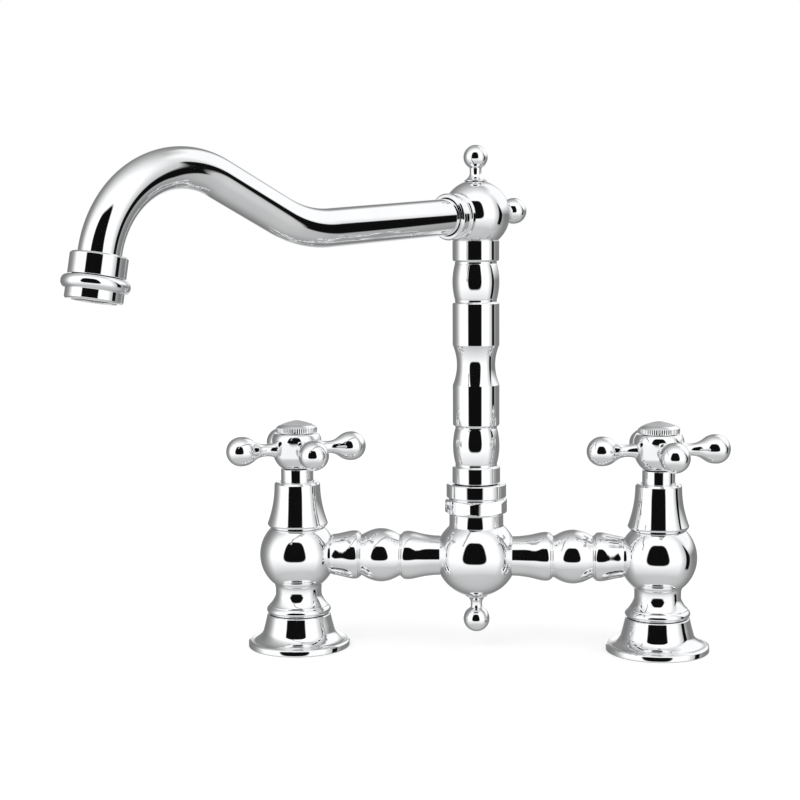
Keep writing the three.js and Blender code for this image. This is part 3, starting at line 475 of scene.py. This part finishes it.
def union_nut(name):
    """Hexagon with swelling facets and chamfered corners under a round collar."""
    low, high, corner, chamfer = 77.9, 85.9, 18.5, 1.4
    bulge, cap = 1.2, 0.7       # a facet's swelling, and how far its chamfer starts outside a flat
    steps, sides = 8, 24        # rings in a chamfer, points along a facet
    flat = corner * math.cos(math.pi / 6)
    prism = bmesh.new()
    rings = []
    for level in [chamfer * i / steps for i in range(steps + 1)]:
        limit = flat + cap + level * (corner - flat - cap) / chamfer
        ring = []
        for j in range(6 * sides):
            off = (j % sides) / sides * 2 - 1
            facet = flat / math.cos(off * math.pi / 6) + bulge * (1 - off * off)
            ring.append((min(facet, limit), 2 * math.pi * j / (6 * sides)))
        rings.append((level, ring))
    stack = [(low + level, ring) for level, ring in rings]
    stack += [(high - level, ring) for level, ring in reversed(rings)]
    rows = [[prism.verts.new((r * MM * math.cos(a), r * MM * math.sin(a), z * MM))
             for r, a in ring] for z, ring in stack]
    for lower, upper in zip(rows, rows[1:]):
        for j in range(len(lower)):
            k = (j + 1) % len(lower)
            prism.faces.new((lower[j], lower[k], upper[k], upper[j]))
    prism.faces.new(reversed(rows[0]))
    prism.faces.new(rows[-1])
    hexagon = make_object(name + "_hexagon", [], [])
    prism.to_mesh(hexagon.data)
    prism.free()
    sharpen(hexagon, 16)
    collar = turned(name + "_collar", [
        (0, 85), (15.6, 85), (15.6, 86.6), (16.9, 87), (16.9, 94), (16.4, 94.5), (10.5, 94.5),
        (10.5, 94), (0, 94),
    ], 128, False, 0.45)
    return joined(name, [hexagon, collar])


put(centre_body("centre_body_fine"), at(), "base", "chrome", "centre_body")
put(union_nut("union_nut_fine"), at(turn=NUT_TURN), "base", "chrome", "union_nut")
put(finial("bottom_finial_fine", 7.4), at(0, 30.9) @ Matrix.Rotation(math.pi, 4, "X"), "base",
    "chrome", "bottom_finial")


# ---------------------------------------------------------------- column, head and spout

def column(name):
    """Riser with two bulges between grooves and a waist between two barrels."""
    groove, barrel = 11.75, 13.15

    def bulge(foot_z):
        return [
            (groove, foot_z - 1.5), (groove, foot_z - 0.2),
            *swell((groove + 0.1, foot_z), (groove + 0.1, foot_z + 19.6), barrel, 24),
            (groove, foot_z + 19.8), (groove, foot_z + 21),
        ]
    return turned(name, [
        (7.4, 61.5), (10.2, 61.5), (10.2, 94.8), (13.1, 94.8), (13.5, 95.2), (13.5, 103.7),
        (13.1, 104.2),
        *bulge(105.9),
        (12.7, 127.2), (barrel, 127.8),
        *swell((barrel, 150), (barrel, 172.4), 10.8, 30),
        (barrel, 195.4), (12.7, 196),
        *bulge(197.7),
        (12.65, 219), (13.05, 219.5), (13.05, 230.1), (12.55, 230.6), (9, 230.6), (9, 234),
        (7.4, 234),
    ], 128, True, 0.4)


def head(name):
    return turned(name, [(0, -14.2), *ball(19, 0, -14.1, 19, 64)], 128)


def spout_collar(name):
    return turned(name, [
        (8.75, 8.9), (9.6, 8.9), (9.6, 12.8), (12.3, 12.8), (12.75, 13.3), (12.75, 16.1),
        (12.2, 16.7), (11.45, 16.9), (11.45, 20.1), (12.1, 20.3), (12.75, 21), (12.75, 22.9),
        (12, 23.7), (10.35, 23.7), (10.35, 17.4), (8.75, 17.4),
    ], 96, True, 0.5)


def spout_line():
    """Centre line of the tube in its upright plane: x, z and heading of each step."""
    heading = -math.radians(SPOUT_DROP)
    lower, upper = math.radians(LOWER_BEND_ANGLE), math.radians(UPPER_BEND_ANGLE)
    runs = [(FIRST_RUN, 0.0), (LOWER_BEND * lower, lower), (SECOND_RUN, 0.0),
            (UPPER_BEND * upper, -upper), (LAST_RUN, 0.0)]
    straight_step, bend_step = 8, 1.6
    x, z = TUBE_START * math.cos(heading), HEAD_Z + TUBE_START * math.sin(heading)
    line = [(x, z, heading)]
    for length, turn in runs:
        steps = max(2, math.ceil(length / (bend_step if turn else straight_step)))
        for _ in range(steps):
            step, swing = length / steps, turn / steps
            x += step * math.cos(heading + swing / 2)
            z += step * math.sin(heading + swing / 2)
            heading += swing
            line.append((x, z, heading))
    return line


def spout_tube(name):
    """Tube along the centre line; its ends are hidden in the collar and the sleeve."""
    segments = 72
    line = spout_line()
    verts, faces = [], []
    for x, z, heading in line:
        for j in range(segments):
            a = 2 * math.pi * j / segments
            out, across = TUBE_RADIUS * math.cos(a), TUBE_RADIUS * math.sin(a)
            verts.append(((x - out * math.sin(heading)) * MM, across * MM,
                          (z + out * math.cos(heading)) * MM))
    for i in range(len(line) - 1):
        for j in range(segments):
            k = (j + 1) % segments
            a, b = i * segments, (i + 1) * segments
            faces.append((a + j, a + k, b + k, b + j))
    faces.append(tuple(range(segments - 1, -1, -1)))
    faces.append(tuple(range((len(line) - 1) * segments, len(line) * segments)))
    tube = make_object(name, verts, faces)
    sharpen(tube, 60)
    return tube


def outlet_sleeve(name):
    return turned(name, [
        (8.75, 6.3), (10.35, 6.3), (10.35, 0.2), (12.4, 0), (13.2, 0.8), (13.2, 10), (11.1, 10),
        (11.1, 14.4), (8.75, 14.4),
    ], 96, True, 0.35)


def outlet_shell(name):
    """Skirt with a bead round it."""
    steps = 20
    half_turn = [math.pi * (i / steps - 0.5) for i in range(steps + 1)]
    return turned(name, [
        (11.4, 10.3), (12.9, 10.3),
        *[(13.3 + 2.4 * math.cos(t), 13.4 + 3 * math.sin(t)) for t in half_turn],
        (13.3, 20.5), (12.6, 21.2), (10.4, 21.2), (10.2, 20.8), (10.2, 20.3), (11.4, 20),
    ], 96, True, 0.3)


def outlet_insert(name):
    """Flow straightener: a rim round a honeycomb of thin walls."""
    rim = turned(name + "_rim", [(9.3, 16), (11.1, 16), (11.1, 20), (9.3, 20)], 64, True, 0.3)
    comb_low, comb_high, comb_radius = 16.4, 19.8, 10.6
    pitch, wall, reach = 2.7, 0.5, 5
    size = pitch / math.sqrt(3)
    walls = set()
    for p in range(-reach, reach + 1):
        for q in range(-reach, reach + 1):
            cx, cy = pitch * (p + q / 2), pitch * q * math.sqrt(3) / 2
            if math.hypot(cx, cy) > comb_radius - 1:
                continue
            for k in range(6):
                a, b = math.radians(30 + 60 * k), math.radians(90 + 60 * k)
                ends = tuple(sorted((round(cx + size * math.cos(t), 3),
                                     round(cy + size * math.sin(t), 3)) for t in (a, b)))
                if all(math.hypot(*e) < comb_radius for e in ends):
                    walls.add(ends)
    comb = bmesh.new()
    for (x0, y0), (x1, y1) in sorted(walls):
        span = Vector((x1 - x0, y1 - y0))
        side = Vector((-span.y, span.x)).normalized() * wall / 2
        corners = [(x0 - side.x, y0 - side.y), (x1 - side.x, y1 - side.y),
                   (x1 + side.x, y1 + side.y), (x0 + side.x, y0 + side.y)]
        low = [comb.verts.new((x * MM, y * MM, comb_low * MM)) for x, y in corners]
        high = [comb.verts.new((x * MM, y * MM, comb_high * MM)) for x, y in corners]
        comb.faces.new(reversed(low))
        comb.faces.new(high)
        for j in range(4):
            comb.faces.new((low[j], low[(j + 1) % 4], high[(j + 1) % 4], high[j]))
    grid = make_object(name + "_grid", [], [])
    comb.to_mesh(grid.data)
    comb.free()
    sharpen(grid, 30)
    return joined(name, [rim, grid])


spout = at(turn=SPOUT_ANGLE)
axis = spout @ at(0, HEAD_Z) @ Matrix.Rotation(math.radians(SPOUT_DROP), 4, "Y")
put(column("column_fine"), spout, "spout", "chrome", "column")
put(head("head_fine"), spout @ at(0, HEAD_Z), "spout", "chrome", "head")
put(finial("top_finial_fine", 6.75), spout @ at(0, HEAD_Z + HEAD_SEAT), "spout", "chrome",
    "top_finial")
put(finial("rear_finial_fine", 7.4), axis @ ALONG_X.inverted() @ at(0, HEAD_SEAT), "spout",
    "chrome", "rear_finial")
put(spout_collar("spout_collar_fine"), axis @ ALONG_X, "spout", "chrome", "spout_collar")
put(spout_tube("spout_tube_fine"), spout, "spout", "chrome", "spout_tube")

end_x, end_z, end_heading = spout_line()[-1]
start = at(end_x - LAST_RUN * math.cos(end_heading), end_z - LAST_RUN * math.sin(end_heading))
outlet = spout @ start @ Matrix.Rotation(math.radians(90) - end_heading, 4, "Y")
put(outlet_sleeve("outlet_sleeve_fine"), outlet, "spout", "chrome", "outlet_sleeve")
put(outlet_shell("outlet_shell_fine"), outlet, "spout", "chrome", "outlet_shell")
put(outlet_insert("outlet_insert_fine"), outlet, "spout", "acetal", "outlet_insert")

# The hidden pieces stay the frame's own, in their finishes.
for row in frame["record"]["subparts"]:
    node = frame["nodes"][row["node"]]
    node.data.materials.clear()
    node.data.materials.append(finishes[row["material_slot"]])


# ---------------------------------------------------------------- studio

def studio_world():
    """White background, and the studio that the metal alone reflects.

    The studio has walls that are bright in front and darken to the sides and the back, a ceiling
    and a ground that do the same, a low light behind, a tall light at the right with a narrow
    dark gap at its near edge, and a dark front. Its places are degrees round from the camera's
    side, to the right, and degrees above the horizon.
    """
    world = bpy.data.worlds.new("studio")
    world.use_nodes = True
    bpy.context.scene.world = world
    tree = world.node_tree
    tree.nodes.clear()

    def math_node(kind, first, second=None):
        node = tree.nodes.new("ShaderNodeMath")
        node.operation = kind
        for socket, value in zip(node.inputs, (first, second)):
            if value is None:
                continue
            if isinstance(value, (int, float)):
                socket.default_value = value
            else:
                tree.links.new(value, socket)
        return node.outputs["Value"]

    def along(vector):
        node = tree.nodes.new("ShaderNodeVectorMath")
        node.operation = "DOT_PRODUCT"
        tree.links.new(direction, node.inputs[0])
        node.inputs[1].default_value = vector
        return node.outputs["Value"]

    def clamped(value):
        node = tree.nodes.new("ShaderNodeClamp")
        tree.links.new(value, node.inputs["Value"])
        return node.outputs["Result"]

    def above(value, low, soft):
        """0 up to low, then rising to 1 over soft."""
        return clamped(math_node("DIVIDE", math_node("SUBTRACT", value, low), soft))

    def below(value, high, soft):
        """0 down to high, then rising to 1 over soft."""
        return clamped(math_node("DIVIDE", math_node("SUBTRACT", high, value), soft))

    def between(value, low, high, soft):
        return math_node("MINIMUM", above(value, low, soft), below(value, high, soft))

    def both(first, second):
        return math_node("MULTIPLY", first, second)

    def fourth_power(value):
        return math_node("POWER", math_node("ABSOLUTE", value), 4)

    def mix(factor, first, second):
        node = tree.nodes.new("ShaderNodeMix")
        node.data_type = "RGBA"
        tree.links.new(factor, node.inputs["Factor"])
        for socket, value in ((node.inputs[6], first), (node.inputs[7], second)):
            if isinstance(value, tuple):
                socket.default_value = value
            else:
                tree.links.new(value, socket)
        return node.outputs[2]

    azimuth = math.radians(VIEW_AZIMUTH)
    direction = tree.nodes.new("ShaderNodeTexCoord").outputs["Generated"]
    ahead = along((math.sin(azimuth), -math.cos(azimuth), 0))
    aside = along((math.cos(azimuth), math.sin(azimuth), 0))
    round_about = math_node("MULTIPLY", math_node("ARCTAN2", aside, ahead), 180 / math.pi)
    height = math_node("MULTIPLY", math_node("ARCSINE", along((0, 0, 1))), 180 / math.pi)

    turn = math_node("ADD", math_node("DIVIDE", round_about, 360), 0.5)
    walls = ramp(tree, turn, [(0.5 + degrees / 360, light / REFLECTED) for degrees, light in (
        (-150, 0.25), (-138, 0.21), (-126, 0.25), (-116, 0.3),
        (-108, 0.4), (-101, 0.56), (-92, 0.87), (-83, 1.2), (60, 1.2), (68, 0.94), (74, 0.77),
        (80, 0.63), (86, 0.5), (92, 0.42), (101, 0.37), (108, 0.29), (116, 0.23), (150, 0.25))])
    facing = math_node("ADD", math_node("MULTIPLY", ahead, 0.5), 0.5)
    ceiling = ramp(tree, facing, [(0.5 + 0.5 * place, light) for place, light in (
        (-0.75, 0.24), (-0.5, 0.33), (-0.3, 0.42), (-0.1, 0.56), (0.1, 0.72), (0.32, 0.92))])
    ground = ramp(tree, facing, [(0.5 + 0.5 * place, light) for place, light in (
        (-0.8, 0.16), (-0.5, 0.26), (-0.1, 0.42), (0.2, 0.47), (0.6, 0.5))])

    low_back = both(above(math_node("ABSOLUTE", round_about), 163, 4), below(height, 22, 14))
    side_light = both(between(round_about, 80, 170, 16), between(height, 0, 68, 14))
    lean = math_node("MULTIPLY", math_node("MAXIMUM", height, 0), 0.5)
    gap = both(both(above(round_about, 81, 2), below(math_node("ADD", round_about, lean), 99, 2)),
               between(height, -26, 30, 4))

    # The front is a rounded upright shape that narrows towards its top.
    front_aside, front_rise, half_width, half_height, taper = -8, 15, 35, 33, 0.16
    rise = math_node("SUBTRACT", height, front_rise)
    narrowed = math_node("SUBTRACT", half_width, math_node("MULTIPLY", rise, taper))
    across = math_node("DIVIDE", math_node("SUBTRACT", round_about, front_aside), narrowed)
    upright = math_node("DIVIDE", rise, half_height)
    outward = math_node("POWER", math_node("ADD", fourth_power(across), fourth_power(upright)),
                        0.25)
    front = below(outward, 0.96, 0.09)

    seen = mix(above(height, 18, 34), walls, ceiling)
    seen = mix(low_back, seen, BACK_LIGHT)
    seen = mix(below(height, -6, 40), seen, ground)
    seen = mix(side_light, seen, SIDE_LIGHT)
    seen = mix(gap, seen, DARK)
    seen = mix(front, seen, DARK)

    def background(colour, strength):
        node = tree.nodes.new("ShaderNodeBackground")
        if isinstance(colour, tuple):
            node.inputs["Color"].default_value = colour
        else:
            tree.links.new(colour, node.inputs["Color"])
        node.inputs["Strength"].default_value = strength
        return node.outputs["Background"]

    def choose(factor, first, second):
        node = tree.nodes.new("ShaderNodeMixShader")
        tree.links.new(factor, node.inputs["Fac"])
        tree.links.new(first, node.inputs[1])
        tree.links.new(second, node.inputs[2])
        return node.outputs["Shader"]

    rays = tree.nodes.new("ShaderNodeLightPath").outputs
    white = background(WHITE, 1.0)
    soft = background(WHITE, SOFT_LIGHT)
    shader = choose(rays["Is Camera Ray"], soft, white)
    shader = choose(rays["Is Glossy Ray"], shader, background(seen, REFLECTED))
    output = tree.nodes.new("ShaderNodeOutputWorld")
    tree.links.new(shader, output.inputs["Surface"])


def floor():
    """Pale floor that keeps the shadow and runs out into the white background."""
    corners = [(x * FLOOR_HALF, y * FLOOR_HALF, 0) for x, y in ((-1, -1), (1, -1), (1, 1), (-1, 1))]
    plane = make_object("studio_floor", corners, [(0, 1, 2, 3)])
    material, tree, shader, place = new_material("studio_floor")
    speckle = noise(tree, place, 35, 3)
    tree.links.new(ramp(tree, speckle, [(0.3, 0.78), (0.7, 0.8)]), shader.inputs["Base Color"])
    shader.inputs["Roughness"].default_value = 0.9
    shader.inputs["Specular IOR Level"].default_value = 0.0
    shader.inputs["Emission Color"].default_value = WHITE
    rays = tree.nodes.new("ShaderNodeLightPath").outputs
    glow = tree.nodes.new("ShaderNodeMath")
    glow.operation = "MULTIPLY"
    tree.links.new(rays["Is Camera Ray"], glow.inputs[0])
    glow.inputs[1].default_value = FLOOR_GLOW
    tree.links.new(glow.outputs["Value"], shader.inputs["Emission Strength"])
    plane.data.materials.append(material)
    plane.visible_glossy = False


def lamp(name, place, power):
    """Soft disk lamp, aimed at the faucet; the metal doesn't reflect it."""
    data = bpy.data.lights.new(name, "AREA")
    data.shape = "DISK"
    data.size = LAMP_SIZE
    data.energy = power
    made = bpy.data.objects.new(name, data)
    made.location = place
    made.rotation_mode = "QUATERNION"
    made.rotation_quaternion = (LAMP_AIM - Vector(place)).to_track_quat("-Z", "Y")
    made.visible_glossy = False
    bpy.context.scene.collection.objects.link(made)


def camera():
    """Camera at the place fitted to the photo."""
    data = bpy.data.cameras.new("camera")
    data.lens = LENS
    data.sensor_width = SENSOR
    made = bpy.data.objects.new("camera", data)
    azimuth, height = math.radians(VIEW_AZIMUTH), math.radians(VIEW_HEIGHT)
    back = Vector((math.sin(azimuth) * math.cos(height), -math.cos(azimuth) * math.cos(height),
                   math.sin(height)))
    made.location = VIEW_TARGET + back * VIEW_DISTANCE
    made.rotation_mode = "QUATERNION"
    roll = Matrix.Rotation(math.radians(VIEW_ROLL), 4, "Z").to_quaternion()
    made.rotation_quaternion = (-back).to_track_quat("-Z", "Y") @ roll
    bpy.context.scene.collection.objects.link(made)
    bpy.context.scene.camera = made


studio_world()
floor()
lamp("key", (-0.7, -0.9, 1.3), 3.0)
lamp("fill", (0.9, -0.5, 1.0), 1.5)
camera()
bpy.context.scene.view_settings.view_transform = "Standard"
